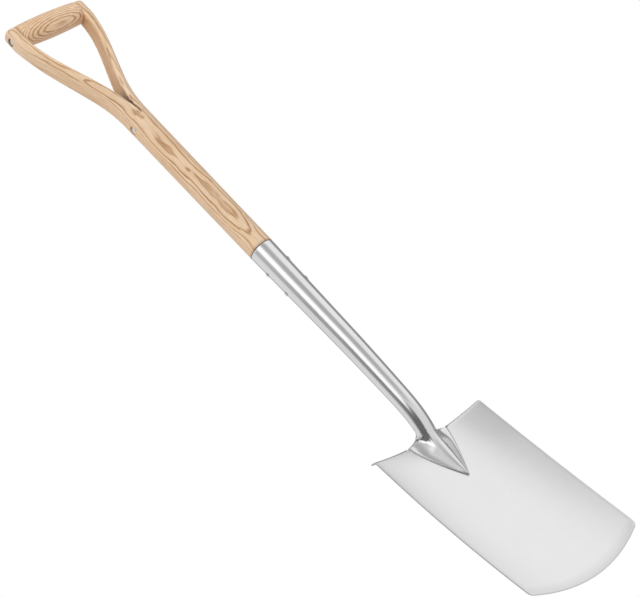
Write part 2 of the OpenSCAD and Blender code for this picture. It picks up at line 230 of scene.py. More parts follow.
def skin(rows, closed=True, cap_start=False, cap_end=False):
    """Points and faces of a surface over rows of equal point count."""
    n = len(rows[0])
    verts = [p for row in rows for p in row]
    faces = []
    for r in range(len(rows) - 1):
        for i in range(n if closed else n - 1):
            j = (i + 1) % n
            a, b = r * n, (r + 1) * n
            faces.append((a + i, a + j, b + j, b + i))
    if cap_start:
        faces.append(tuple(range(n)))
    if cap_end:
        faces.append(tuple((len(rows) - 1) * n + i for i in reversed(range(n))))
    return verts, faces


def join(parts):
    """One list of points and faces from several."""
    verts, faces = [], []
    for v, f in parts:
        base = len(verts)
        verts.extend(v)
        faces.extend(tuple(i + base for i in face) for face in f)
    return verts, faces


def turned(profile, n, place):
    """A turned shape of n sides from a profile of (distance along the axis, radius)."""
    rows = []
    for along, r in profile:
        rows.append([place(along, r * math.cos(a), r * math.sin(a)) for a in circle(n)])
    return skin(rows, True, True, True)


def curve(a, b, c, t):
    """A point of the curve from a to c that is pulled towards b."""
    return a * (1 - t) ** 2 + b * 2 * t * (1 - t) + c * t ** 2


def rounded(points, r, n):
    """A profile with its inner corners rounded over r, each by n steps."""
    out = [points[0]]
    for a, b, c in zip(points, points[1:], points[2:]):
        pa, pb, pc = Vector(a), Vector(b), Vector(c)
        k = min(r, (pa - pb).length * 0.45, (pc - pb).length * 0.45)
        start, end = pb + (pa - pb).normalized() * k, pb + (pc - pb).normalized() * k
        for t in steps(0, 1, n):
            out.append(tuple(curve(start, pb, end, t)))
    out.append(points[-1])
    return out


def apply_modifiers(obj, sharp):
    """Keep the modified shape as plain mesh."""
    graph = bpy.context.evaluated_depsgraph_get()
    result = bpy.data.meshes.new_from_object(obj.evaluated_get(graph), depsgraph=graph)
    obj.modifiers.clear()
    obj.data = result
    shade(result, sharp)


def carve(obj, cutter, sharp):
    """Cut one closed mesh out of another."""
    mod = obj.modifiers.new("seats", "BOOLEAN")
    mod.object, mod.operation, mod.solver = cutter, "DIFFERENCE", "EXACT"
    apply_modifiers(obj, sharp)
    bpy.data.objects.remove(cutter)


def finish_piece(obj, node, material):
    """Give a piece its material, hang it from the root body and hide the CAD part of the node it stands
    for.
    """
    obj.data.materials.clear()
    obj.data.materials.append(material)
    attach(obj, "root")
    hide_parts(node)


# ---------------------------------------------------------------- wooden shaft and arms
def arm_t(z):
    """0 at the crotch, 1 where the arms are parallel."""
    return clamp((z - Z_CROTCH) / (Z_PARALLEL - Z_CROTCH))


def arm_in(z):
    """Distance of an arm's inner face from the middle."""
    return mix(KERF / 2, ARM_IN, smooth(arm_t(z) ** ARM_SPREAD_POW))


def arm_thick(z):
    d = max(0.0, z - (ARM_TOP - ARM_TIP_R))
    tip = ARM_TIP_R - math.sqrt(max(0.0, ARM_TIP_R ** 2 - d * d))
    swell = (SWELL_R - KERF / 2 - ARM_SLIM_T) * (1 - smooth((z - Z_CROTCH) / CROTCH_BLEND))
    flare = (ARM_T - ARM_SLIM_T) * smooth((z - FLARE_Z) / (Z_PARALLEL - FLARE_Z))
    return ARM_SLIM_T + swell + flare - tip


def arm_half(z):
    """Half the depth of an arm from front to back."""
    side = ARM_HALF + (SWELL_R - ARM_HALF) * (1 - arm_t(z)) ** ARM_DEPTH_POW
    if z < BAR_Z:
        return side
    over = math.sqrt(max(4.0, (ARM_TOP - BAR_Z + ARM_TOP_PLAY) ** 2 - (z - BAR_Z) ** 2))
    return soft_min(side, over, ARM_TOP_BLEND)


ARC = 24          # points round the outside of an arm
CORNER = 5        # points round each of its inner corners
FLAT = 12         # points across its flat inner face
CREASE = 0.014    # angle that the inner corners take up on the round shaft


def arm_section(z):
    """Outer points of the right arm, from its front inner corner round to the back one."""
    x0, thick, half = arm_in(z), arm_thick(z), arm_half(z)
    e = 1 - SQUARENESS * smooth(2.5 * arm_t(z))
    r = mix(CORNER_LOW_R, CORNER_HIGH_R, smooth((z - Z_CROTCH) / CORNER_RISE))
    a_end = math.acos(clamp((r / thick) ** (1 / e)))
    outer = []
    for a in steps(-a_end, a_end, ARC - 1):
        outer.append((x0 + thick * math.cos(a) ** e, half * spow(math.sin(a), e)))
    y_end = outer[-1][1]
    bend = steps(0, math.pi / 2, CORNER)[:-1]
    front = [(x0 + r * (1 - math.cos(b)), -y_end + r * (1 - math.sin(b))) for b in bend]
    back = [(x, -y) for x, y in reversed(front)]
    return front + outer + back


def half_circle(r):
    """Half of the round shaft, with its points spread like those of an arm section."""
    end = math.pi / 2 - CREASE
    start = steps(-math.pi / 2, -end, CORNER)[:-1]
    angles = start + steps(-end, end, ARC - 1) + [-a for a in reversed(start)]
    return [(r * math.cos(a), r * math.sin(a)) for a in angles]


ARM_LENGTHENING = 0.12                # the bent arms are this share of their shift longer


def grain_place(p):
    """Where a point of the shaft lay before the arms were spread: the grain follows the arms."""
    x, y, z = p
    if z <= Z_CROTCH:
        return (x, y, z)
    shift = arm_in(z) - KERF / 2
    side = 1 if x > 0 else -1
    return (x - side * shift, y, z + ARM_LENGTHENING * shift)


RIM_DARK = 0.9                        # height of the painted shade line above the socket's rim
GAP_DARK = 9.0                        # the saw cut gets painted shade where it is narrower than twice this


def wood_painted_shade(p, inner):
    """Painted shade and tint of a point of the shaft: (painted shade in a line above the socket's rim
    and in the narrow saw cut, sawn inner face with painted shade, unused).
    """
    x, y, z = p
    rim = clamp(1 - (z - Z_RIM - 0.5) / RIM_DARK) if z > Z_RIM - 2 else 0.0
    gap = clamp(1 - arm_in(z) / GAP_DARK) if inner and z > Z_SLOT + 0.5 else 0.0
    return (max(rim, gap), 1.0 if inner else 0.0, 0.0)


SHOULDER_Z, SHOULDER_R = Z_RIM + 0.35, 0.75   # the wood's rounded edge above the rim
SHAFT_ROWS, ARM_ROWS = 60, 110


def shaft_half(side):
    """Outer and inner surfaces of one half: the round shaft below, an arm above."""
    low = [(Z_TAIL, TAIL_LOW_R), (Z_TAIL + 1.5, TAIL_LOW_R + 1.2), (Z_RIM, TAIL_R),
           (SHOULDER_Z, TAIL_R + 0.45), (SHOULDER_Z, TAIL_R + 1.2)]
    for b in steps(0.2, math.pi / 2, 4):
        low.append((SHOULDER_Z + SHOULDER_R * math.sin(b), SHAFT_R - SHOULDER_R * math.cos(b)))
    for z in steps(Z_RIM + 5, Z_SLOT, SHAFT_ROWS):
        low.append((z, mix(SHAFT_R, SWELL_R, (z - Z_RIM) / (Z_CROTCH - Z_RIM))))
    rows = [[(side * x, y, z) for x, y in half_circle(r)] for z, r in low]
    high = [Z_SLOT + 0.8] + [mix(Z_CROTCH, ARM_TOP, 1 - (1 - t) ** 1.6) for t in steps(0, 1, ARM_ROWS)]
    rows += [[(side * x, y, z) for x, y in arm_section(z)] for z in high]
    outside = [skin(rows, False)]
    # flat inner face, starting from the closed end of the saw cut
    inner = []
    for row in rows[len(low) - 1:]:
        (xa, ya, z), (xb, yb, _) = row[0], row[-1]
        inner.append([(mix(xa, xb, t), mix(ya, yb, t), z) for t in steps(0, 1, FLAT)])
    inside = [skin(inner, False)]
    top = rows[-1] + inner[-1][-2:0:-1]
    centre = (sum(p[0] for p in top) / len(top), 0.0, ARM_TOP + 0.25)
    cap = [(i, (i + 1) % len(top), len(top)) for i in range(len(top))]
    outside.append((top + [centre], cap))
    tail = rows[0]
    fan = [(i, i + 1, len(tail)) for i in range(len(tail) - 1)]
    outside.append((tail + [(0.0, 0.0, Z_TAIL)], fan))
    return outside, inside


# height and distance from the middle of the washer seats in the arms and in the shaft
SEATS = ((Z_GRIP, ARM_OUT - SEAT_DEPTH), (Z_FORK, fork_hi.x - WASHER_T - PEEN_H))


def seat_cutter():
    parts = []
    for z, floor in SEATS:
        for side in (-1, 1):
            profile = [(floor, SEAT_R - 0.15), (floor + 0.15, SEAT_R), (floor + 8, SEAT_R)]
            parts.append(turned(profile, SEAT_SIDES, lambda a, b, c: (side * a, b, z + c)))
    verts, faces = join(parts)
    # the walls of the washer seats carry painted shade
    dark = [(1, 0, 0)] * len(verts)
    return make_mesh("seat_cutter", verts, faces, SHARP_WOOD, [grain_place(v) for v in verts], dark)


def build_shaft(material):
    halves = [shaft_half(side) for side in (1, -1)]
    outside = [part for half in halves for part in half[0]]
    inside = [part for half in halves for part in half[1]]
    first_inner = sum(len(v) for v, f in outside)
    verts, faces = join(outside + inside)
    shade_and_wear = [wood_painted_shade(v, i >= first_inner) for i, v in enumerate(verts)]
    obj = make_mesh("wood_shaft", verts, faces, SHARP_WOOD, [grain_place(v) for v in verts], shade_and_wear)
    carve(obj, seat_cutter(), SHARP_WOOD)
    finish_piece(obj, "shaft", material)


# ---------------------------------------------------------------- crossbar
BAR_FACE = (-0.62, -0.79)             # y and z of the direction of the front that shows the ovals
BAR_BOW = -10.0                       # how far the rings are bowed between the middle and an end
BAR_OVAL_X = 8.0                      # middle of the ovals
BAR_PITH = 28.0                       # distance of the heart of the tree


def build_crossbar(material):
    def bar_r(x):
        return mix(BAR_MID_R, BAR_END_R, (x / ARM_IN) ** 2)
    end, c = ARM_IN - BAR_PLAY, BAR_CHAMFER
    outline = [(x, bar_r(x)) for x in steps(-end + c, end - c, 60)]
    edge = [(c - c * math.cos(b), c * math.sin(b) - c) for b in steps(0, math.pi / 2, 4)][:-1]
    left = [(-end + dx, bar_r(end) + dr) for dx, dr in edge]
    right = [(-a, r) for a, r in reversed(left)]
    face = [(-end, PIN_R + 0.1), (-end, 8.0)]
    profile = face + left + outline + right + [(-a, r) for a, r in reversed(face)]
    verts, faces = turned(profile, BAR_SIDES, lambda a, b, c: (a, b, BAR_Z + c))
    # the growth rings are bowed along the bar, which leaves closed ovals on its front
    grain = []
    for x, y, z in verts:
        bow = BAR_BOW * ((x - BAR_OVAL_X) / ARM_IN) ** 2
        grain.append((y + bow * BAR_FACE[0], z - BAR_Z + bow * BAR_FACE[1], x))
    obj = make_mesh("wood_crossbar", verts, faces, SHARP_WOOD, grain)
    finish_piece(obj, "crossbar_grip", material)


# ---------------------------------------------------------------- rivets and washers
def peened_profile(seat):
    """Half profile of a through rod whose ends are spread over the washers."""
    outer, rise = seat + WASHER_T, 0.18
    half = [(outer - 0.01, PIN_R), (outer, PEEN_R - 0.05), (outer + rise, PEEN_R)]
    half += [(outer + rise + (PEEN_H - rise) * math.sin(b), PEEN_R * math.cos(b) ** 0.8)
             for b in steps(0.15, 1.5, 6)]
    return [(-a, r) for a, r in reversed(half)] + half


def build_rods(material):
    for (node, name), (z, seat) in zip((("grip_rivet", "grip_rod"), ("fork_rivet", "fork_rod")), SEATS):
        verts, faces = turned(peened_profile(seat), ROD_SIDES, lambda a, b, c: (a, b, z + c))
        finish_piece(make_mesh(name, verts, faces, SHARP_STEEL), node, material)


def build_washers(material):
    parts = []
    for z, seat in SEATS:
        outer = seat + WASHER_T
        for side in (-1, 1):
            section = rounded([(seat, PIN_R), (seat, WASHER_R), (outer - 0.25, WASHER_R),
                               (outer, WASHER_R - 0.6), (outer, PIN_R)], 0.25, 3)
            rows = [[(side * a, r * math.cos(b), z + r * math.sin(b)) for b in circle(WASHER_SIDES)]
                    for a, r in section + section[:1]]
            parts.append(skin(rows, True))
    obj = make_mesh("washers", *join(parts), SHARP_STEEL)
    finish_piece(obj, "rivet_washers", material)


def build_socket_rivets(material):
    parts = []
    for drop in RIVET_DROPS:
        grip, rim = socket_r(Z_RIM - drop) + 0.03, 0.3
        half = [(grip, PIN_R), (grip, DOME_R), (grip + rim, DOME_R)]
        for b in steps(0.2, 1.5, 7):
            half.append((grip + rim + (DOME_H - rim) * math.sin(b), DOME_R * math.cos(b)))
        profile = [(-a, r) for a, r in reversed(half)] + half

        def place(a, b, c, z=Z_RIM - drop):
            return (a * math.cos(RIVET_TURN) - b * math.sin(RIVET_TURN),
                    a * math.sin(RIVET_TURN) + b * math.cos(RIVET_TURN), z + c)
        parts.append(turned(profile, ROD_SIDES, place))
    obj = make_mesh("socket_rivet_heads", *join(parts), SHARP_STEEL)
    finish_piece(obj, "socket_rivets", material)


# ---------------------------------------------------------------- blade
# directions down along the blade and backwards through it, and its origin at the bend of the treads
DOWN = Vector((0, -math.sin(LEAN), -math.cos(LEAN)))
BACK = Vector((0, math.cos(LEAN), -math.sin(LEAN)))
BLADE_O = Vector((0, BLADE_BACK, Z_BEND))


def half_w(t):
    """Half the width of the blade, t running from 0 at the top to 1 at the foot."""
    return mix(BLADE_TOP_W, BLADE_LOW_W, t) / 2 + 4 * BLADE_BOW * t * (1 - t)


def dish(t):
    return mix(DISH_TOP, DISH_LOW, t)


def edge_s(u):
    """Length of the blade from the bend to the cutting edge."""
    d = max(0.0, abs(u) * half_w(1) - half_w(1) + CORNER_R)
    corner = CORNER_R - math.sqrt(max(0.0, CORNER_R ** 2 - d * d))
    return BLADE_SIDE + EDGE_BOW * (1 - u * u) - corner


def sheet_pt(u, s, n):
    """A point of the blade: u across from -1 to 1, s down from the bend, n behind the front face."""
    t = s / BLADE_SIDE
    w = half_w(t)
    gx = -2 * dish(t) * u / w
    gs = 4 * LONG_DISH * (1 - 2 * t) / BLADE_SIDE
    m = math.sqrt(1 + gx * gx + gs * gs)
    dent = dish(t) * (1 - u * u) + 4 * LONG_DISH * t * (1 - t)
    across = Vector((u * w - n * gx / m, 0, 0))
    return BLADE_O + across + DOWN * (s - n * gs / m) + BACK * (dent + n / m)


FOLD_BEND = 0.625         # share of the fold's rows that lie in its bend


def fold_pt(u, k, n):
    """A point of the folded tread: k runs from 0 at the bend to 1 at the back lip."""
    bend = min(1.0, k / FOLD_BEND)
    run = max(0.0, k - FOLD_BEND) / (1 - FOLD_BEND) * (TREAD_DEPTH - TREAD_R)
    a, r = TREAD_FOLD * bend, TREAD_R - n
    return (BLADE_O + Vector((u * half_w(0), 0, 0)) - DOWN * (r * math.sin(a) + run * math.cos(a))
            + BACK * (DISH_TOP * (1 - u * u) + TREAD_R - r * math.cos(a) + run * math.sin(a)))


BLADE_ROWS = 84
FOLD_ROWS = 12
SIDE_COLS = 34            # columns of faces in each tread
MID_COLS = 26             # columns of faces between the treads
BLADE_J = range(-FOLD_ROWS, BLADE_ROWS + 1)   # rows of points: below 0 in the folded treads


def blade_columns():
    """Places of the columns of points across the blade, from -1 to 1."""
    gap = TREAD_GAP / half_w(0)
    side = [mix(gap, 1, math.sin(math.pi / 2 * i / SIDE_COLS)) for i in range(SIDE_COLS + 1)]
    middle = [gap * (-1 + 2 * i / MID_COLS) for i in range(1, MID_COLS)]
    return [-u for u in reversed(side)] + middle + side


def down_share(j):
    """Share of the blade's length above row j: the rows lie closer towards the foot."""
    return 1 - (1 - j / BLADE_ROWS) ** 1.25


def blade_point(u, j, n):
    if j < 0:
        return tuple(fold_pt(u, -j / FOLD_ROWS, n))
    s_end = edge_s(u)
    s = s_end * down_share(j)
    ground = clamp(1 - (s_end - s) / EDGE_GROUND)      # the front is ground away towards the edge
    return tuple(sheet_pt(u, s, n if n > 0 else EDGE_TAKEN * ground))


# painted shade on the sheet's cut edges at the treads, the sides and the foot
TREAD_DARK, SIDE_DARK, FOOT_DARK = 0.8, 0.5, 0.4
WEAR_REACH = 16.0         # how far the wear of the cutting edge reaches up
SIDE_WEAR, SIDE_WEAR_U = 0.6, 0.94    # wear of the sides, and where it starts


def cut_edge_shade(c, cols, j):
    """Painted shade on the sheet's cut edges: rim and inner end of each tread, sides and foot."""
    if j == -FOLD_ROWS or (j < 0 and c in (SIDE_COLS, cols - 1 - SIDE_COLS)):
        return TREAD_DARK
    if c in (0, cols - 1):
        return SIDE_DARK
    return FOOT_DARK if j == BLADE_ROWS else 0.0


def edge_wear(u, j):
    """Wear of the blade: 1 at the cutting edge, fading upwards, and a little at the sides."""
    if j < 0:
        return 0.0
    low = clamp(1 - edge_s(u) * (1 - down_share(j)) / WEAR_REACH)
    return max(low, SIDE_WEAR * clamp((abs(u) - SIDE_WEAR_U) / (1 - SIDE_WEAR_U)))


def build_blade(material):
    us = blade_columns()
    rows, cols = len(BLADE_J), len(us)
    verts = [blade_point(u, j, n) for n in (0.0, BLADE_T) for j in BLADE_J for u in us]
    size = rows * cols

    def has(r, c):
        """Whether the sheet has a face there: between the treads it doesn't."""
        if r < 0 or c < 0 or r >= rows - 1 or c >= cols - 1:
            return False
        return r >= FOLD_ROWS or c < SIDE_COLS or c >= cols - 1 - SIDE_COLS

    faces = []
    for r in range(rows - 1):
        for c in range(cols - 1):
            if not has(r, c):
                continue
            a, b = r * cols + c, (r + 1) * cols + c
            # front face, back face and a wall towards each side where the sheet ends
            faces.append((a, a + 1, b + 1, b))
            faces.append((size + a, size + b, size + b + 1, size + a + 1))
            for near, (p, q) in (((r - 1, c), (a, a + 1)), ((r, c + 1), (a + 1, b + 1)),
                                 ((r + 1, c), (b + 1, b)), ((r, c - 1), (b, a))):
                if not has(*near):
                    faces.append((p, p + size, q + size, q))
    shade_and_wear = [(cut_edge_shade(c, cols, j), edge_wear(u, j), 0.0) for j in BLADE_J for c, u in enumerate(us)]
    obj = make_mesh("steel_blade", verts, faces, SHARP_STEEL, None, shade_and_wear + shade_and_wear)
    strip_loose(obj.data)
    mod = obj.modifiers.new("edges", "BEVEL")
    mod.width, mod.segments = SHEET_EDGE_R * MM, 3
    mod.limit_method, mod.angle_limit = "ANGLE", math.radians(50)
    mod.use_clamp_overlap = True
    apply_modifiers(obj, SHARP_STEEL)
    finish_piece(obj, "blade", material)


# ---------------------------------------------------------------- socket, neck and frog
SOCKET_SLOPE = (RIM_R - NECK_R) / (Z_RIM - Z_TREAD)
AROUND = 96               # points round the socket
SOCKET_ROWS, NECK_ROWS, FILLET_ROWS, FROG_ROWS = 40, 48, 30, 70
SHARP_SOCKET = 50


def socket_r(z):
    """Radius of the tapered socket and neck."""
    return RIM_R - SOCKET_SLOPE * (Z_RIM - z)


def blade_y(x, z):
    """Front face of the blade at a height."""
    s = (Z_BEND - z) / math.cos(LEAN)
    t = s / BLADE_SIDE
    w = half_w(max(0.0, t))
    bow = dish(t) * (1 - x * x / w / w) + 4 * LONG_DISH * t * (1 - t)
    return BLADE_BACK - (Z_BEND - z) * math.tan(LEAN) + bow / math.cos(LEAN)


def neck_t(z):
    """0 where the neck starts to bend, 1 at the top of the blade."""
    return max(0.0, (Z_NECK - z) / (Z_NECK - Z_TREAD))


def crank_y(z):
    """How far the neck's centre line lies behind the shaft's axis."""
    return SWEEP * neck_t(z) ** 1.5 + CRANK * max(0.0, (Z_TREAD + CRANK_H - z) / CRANK_H) ** 3


def neck_r(z):
    return socket_r(max(z, Z_TREAD))


def frog_t(z):
    """0 at the wings, 1 at the tip."""
    return clamp((WING_Z - z) / (WING_Z - Z_TIP))


def frog_half(z):
    return mix(FROG_W / 2, FROG_TIP_HALF, frog_t(z) ** WING_POW)


def wing_half(z):
    if z < WING_Z:
        return frog_half(z)
    f = max(0.0, (FILLET_TOP - z) / (FILLET_TOP - WING_Z))
    return mix(neck_r(z), FROG_W / 2, f ** FILLET_POW)


def spread(z):
    """0 in the round neck, 1 where the frog is a roof on the blade."""
    return smooth((FILLET_TOP - z) / (FILLET_TOP - WING_Z))


def ridge_r(z):
    return mix(neck_r(max(z, WING_Z)), FROG_TIP_R, frog_t(z) ** RIDGE_POW)


def ridge_lift(z):
    """Height of the ridge's centre above the blade."""
    top = blade_y(0, max(z, WING_Z)) - crank_y(max(z, WING_Z))
    return top if z > WING_Z else mix(top, FROG_TIP_LIFT, frog_t(z) ** RIDGE_POW)


def half_round(r, x):
    return math.sqrt(max(0.0, r * r - x * x))


def frog_height(x, z, r, w, lift, edge):
    """Height of the outside above the blade: a half round with a skirt above, a rounded roof below."""
    if x < r:
        skirt = lift + half_round(r, x)
    else:
        skirt = edge + (lift - edge) * max(0.0, 1 - (x - r) / (w - r + 0.01)) ** SKIRT_POW
    c = mix(*ROOF_ROUND, frog_t(z))
    fall = (math.hypot(x / w, c) - c) / (math.hypot(1, c) - c)
    roof = edge + (lift + r - edge) * max(0.0, 1 - fall) ** mix(*ROOF_POW, frog_t(z))
    return mix(skirt, roof, smooth((ROOF_TOP - z) / (ROOF_TOP - ROOF_FULL)))


def frog_row(z):
    """Outline of the neck or frog at a height: flat on the blade where the frog lies on it."""
    r, w, m, lift = ridge_r(z), wing_half(z), spread(z), ridge_lift(z)
    row = []
    for a in circle(AROUND):
        x = w * spow(math.cos(a), mix(1, CROWD_POW, m))
        base = mix(blade_y(0, z), blade_y(x, z), m)
        if math.sin(a) < -0.001:
            y = base - frog_height(abs(x), z, r, w, lift, mix(lift, BEAD_H, m))
        else:
            y = mix(crank_y(z) + half_round(neck_r(z), x), base, m)
        row.append((x, y, z))
    return row


def ring(z, r):
    return [(r * math.cos(a), r * math.sin(a), z) for a in circle(AROUND)]


def build_socket(material):
    # from the inside over the rounded rim, then down the outside
    rim = rounded([(Z_RIM - 9, RIM_R - WALL - 0.15), (Z_RIM, RIM_R - WALL), (Z_RIM, RIM_R),
                   (Z_RIM - 3, socket_r(Z_RIM - 3))], 0.7, 4)
    rows = [ring(z, r) for z, r in rim]
    rows += [ring(z, socket_r(z)) for z in steps(Z_RIM - 6, Z_NECK, SOCKET_ROWS)]
    heights = steps(Z_NECK, FILLET_TOP, NECK_ROWS)[1:] + steps(FILLET_TOP, WING_Z, FILLET_ROWS)[1:]
    heights += steps(WING_Z, Z_TIP, FROG_ROWS)[1:]
    rows += [frog_row(z) for z in heights]
    verts, faces = skin(rows, True, False, True)
    obj = make_mesh("steel_socket", verts, faces, SHARP_SOCKET)
    finish_piece(obj, "socket_neck", material)


# ---------------------------------------------------------------- weld beads
BEAD_ROWS = 160
BEAD_UNDER = 0.4          # how far a bead reaches under the frog and into the blade


def build_welds(material):
    parts = []
    for side in (-1, 1):
        rows = []
        for k in range(BEAD_ROWS + 1):
            z = mix(WING_Z, Z_TIP, k / BEAD_ROWS)
            ripple = 0.12 * math.sin(k * 1.15) + 0.06 * math.sin(k * 0.43 + 1.3 * side)
            x = frog_half(z)
            far = x + (BEAD_W + ripple) * (1 - 0.5 * frog_t(z))
            h = BEAD_H + 0.5 * ripple
            inner = Vector((x - BEAD_UNDER, blade_y(x, z) - h, z))
            outer = Vector((far, blade_y(far, z) + 0.15, z))
            root = Vector((x - BEAD_UNDER, blade_y(x, z) + BEAD_UNDER, z))
            bulge = (inner + outer) / 2 + Vector((0.25, -0.35, 0))
            crest = [curve(inner, bulge, outer, u) for u in steps(0, 1, 6)]
            rows.append([(side * p.x, p.y, p.z) for p in crest + [root]])
        parts.append(skin(rows, True, True, True))
    finish_piece(make_mesh("weld_beads", *join(parts), SHARP_WELD), "weld_bead", material)


# ---------------------------------------------------------------- materials
class Graph:
    """Short hand for building a node material."""

    def __init__(self, name):
        self.material = bpy.data.materials.new(name)
        self.material.use_nodes = True
        self.tree = self.material.node_tree
        self.shader = self.tree.nodes["Principled BSDF"]

    def feed(self, socket, value):
        if isinstance(value, bpy.types.NodeSocket):
            self.tree.links.new(value, socket)
        elif value is not None:
            socket.default_value = value

    def node(self, kind, inputs=(), **settings):
        n = self.tree.nodes.new(kind)
        for key, value in settings.items():
            setattr(n, key, value)
        for key, value in dict(inputs).items():
            self.feed(n.inputs[key], value)
        return n

    def attribute(self, name):
        return self.node("ShaderNodeAttribute", attribute_name=name).outputs["Vector"]

    def math(self, operation, a, b=None, limit=False):
        n = self.node("ShaderNodeMath", operation=operation, use_clamp=limit)
        self.feed(n.inputs[0], a)
        self.feed(n.inputs[1], b)
        return n.outputs[0]

    def vector(self, operation, a, b=None):
        n = self.node("ShaderNodeVectorMath", operation=operation)
        self.feed(n.inputs[0], a)
        self.feed(n.inputs[1], b)
        return n.outputs["Value" if operation == "LENGTH" else "Vector"]

    def noise(self, place, frequency, detail=2.0, rough=0.5, out="Fac"):
        """Noise from 0 to 1; frequency is one number, or one for each axis of the place."""
        scale = 1.0
        if isinstance(frequency, tuple):
            place = self.vector("MULTIPLY", place, frequency)
        else:
            scale = frequency
        inputs = {"Vector": place, "Scale": scale, "Detail": detail, "Roughness": rough}
        return self.node("ShaderNodeTexNoise", inputs).outputs[out]

    def ramp(self, value, stops):
        """A grey value that runs linearly through stops of (position, grey)."""
        n = self.node("ShaderNodeValToRGB", {"Fac": value})
        n.color_ramp.interpolation = "LINEAR"
        while len(n.color_ramp.elements) < len(stops):
            n.color_ramp.elements.new(0.5)
        for element, (position, grey) in zip(n.color_ramp.elements, stops):
            element.position = position
            element.color = (grey, grey, grey, 1.0)
        return n.outputs["Color"]

    def blend(self, factor, a, b, mode="MIX"):
        n = self.node("ShaderNodeMix", data_type="RGBA", blend_type=mode)
        for socket, value in ((n.inputs[0], factor), (n.inputs[6], a), (n.inputs[7], b)):
            if isinstance(value, tuple):
                value = (*value, 1.0)
            self.feed(socket, value)
        return n.outputs[2]

    def range(self, value, a, b, c, d):
        """Map a to b linearly onto c to d, and stop there."""
        inputs = {"Value": value, "From Min": a, "From Max": b, "To Min": c, "To Max": d}
        return self.node("ShaderNodeMapRange", inputs).outputs[0]

    def bump(self, height, strength, distance):
        n = self.node("ShaderNodeBump", {"Height": height, "Strength": strength, "Distance": distance})
        return n.outputs["Normal"]


# frequencies of the wood's noises per millimetre, across the grain twice and along it
DRIFT = (0.022, 0.022, 0.011)         # slow wander of the growth rings
JITTER = (0.5, 0.5, 0.045)            # their small waves
PATCH = (0.06, 0.06, 0.012)           # where the lines are strong or faint
FIBRE = (0.85, 0.85, 0.022)
PORE = (3.2, 3.2, 0.16)
WARMTH = (0.035, 0.035, 0.008)
# darkness through one year's growth: a sharp start of open early wood, then dense pale late wood
YEAR = [(0.0, 0.30), (0.05, 1.0), (0.20, 0.80), (0.32, 0.34), (0.50, 0.08), (0.94, 0.08), (1.0, 0.30)]
ASH_PALE, ASH_TAN = (0.93, 0.72, 0.51), (0.44, 0.215, 0.085)
BAR_PALE = (1.0, 0.76, 0.53)
SAWN_AND_SHADED = (0.80, 0.69, 0.55)             # tint of the sawn inner faces of the arms: partly their own colour, partly painted shade where the arms face each other
PAINTED_SHADE = (0.035, 0.018, 0.009)      # painted shade in the saw cut, in the washer seats and in the line above the socket's rim


def ash_material(name, pith, ring_gap, wander, seed, pale=ASH_PALE):
    """Oiled ash. The grain runs along z of the stored grain place; pith is the heart of the tree."""
    g = Graph(name)
    place = g.attribute("grain")
    shade_and_wear = g.node("ShaderNodeSeparateXYZ", {"Vector": g.attribute("shade_and_wear")}).outputs
    place = g.vector("ADD", place, (0.0, 0.0, seed))
    drift = g.vector("SUBTRACT", g.noise(place, DRIFT, 3.0, 0.45, "Color"), (0.5, 0.5, 0.5))
    drift = g.vector("MULTIPLY", drift, (wander, wander, 0.0))
    section = g.vector("MULTIPLY", g.vector("ADD", place, drift), (1.0, 1.0, 0.0))
    radius = g.vector("LENGTH", g.vector("SUBTRACT", section, (*pith, 0.0)))
    rings = g.math("DIVIDE", radius, ring_gap)
    rings = g.math("ADD", rings, g.math("MULTIPLY", g.noise(place, JITTER, 3.0, 0.6), 0.45))
    early = g.ramp(g.math("FRACT", rings), YEAR)
    # some years are strong and some are faint, and a line fades in and out along the wood
    number = g.math("FLOOR", rings)
    year = g.node("ShaderNodeTexWhiteNoise", {"W": number}, noise_dimensions="1D").outputs["Value"]
    patch = g.range(g.noise(place, PATCH), 0.32, 0.68, 0.6, 1.1)
    early = g.math("MULTIPLY", early, g.math("MULTIPLY", g.range(year, 0.0, 1.0, 0.5, 1.1), patch))
    # long fibres, and the open pores of the early wood
    fibre = g.noise(place, FIBRE, 5.0, 0.7)
    pore = g.range(g.noise(place, PORE), 0.50, 0.66, 0.0, 1.0)
    pore = g.math("MULTIPLY", pore, g.math("ADD", early, 0.16))
    tone = g.math("ADD", early, g.range(fibre, 0.3, 0.7, -0.16, 0.44))
    tone = g.math("ADD", tone, g.math("MULTIPLY", pore, 0.6), limit=True)
    warm = g.range(g.noise(place, WARMTH), 0.35, 0.65, 0.0, 1.0)
    light = g.blend(warm, pale, (pale[0] * 0.98, pale[1] * 0.93, pale[2] * 0.86))
    colour = g.blend(tone, light, ASH_TAN)
    # the arms' inner faces: sawn wood, also darkened as painted shade
    colour = g.blend(shade_and_wear["Y"], colour, SAWN_AND_SHADED, "MULTIPLY")
    # painted shade in the saw cut, in the washer seats and in the line above the socket's rim
    colour = g.blend(g.math("MULTIPLY", shade_and_wear["X"], 0.9), colour, PAINTED_SHADE)
    g.feed(g.shader.inputs["Base Color"], colour)
    rough = g.math("ADD", g.range(fibre, 0.2, 0.8, 0.42, 0.54), g.math("MULTIPLY", pore, 0.2))
    g.feed(g.shader.inputs["Roughness"], rough)
    height = g.math("SUBTRACT", g.math("MULTIPLY", fibre, 0.3), pore)
    g.feed(g.shader.inputs["Normal"], g.bump(height, 0.4, 0.00015))
    g.shader.inputs["Specular IOR Level"].default_value = 0.4
    g.shader.inputs["Coat Weight"].default_value = 0.1
    g.shader.inputs["Coat Roughness"].default_value = 0.35
    return g.material


CLOUD = (0.018, 0.018, 0.012)         # frequency of the clouds of wear on steel, per millimetre
CLOUD_DEPTH = 0.03
EDGE_SHADE_GREY = (0.16, 0.16, 0.16)        # colours of the painted shade on cut edges and of worn steel
WORN_STEEL = (0.35, 0.35, 0.36)


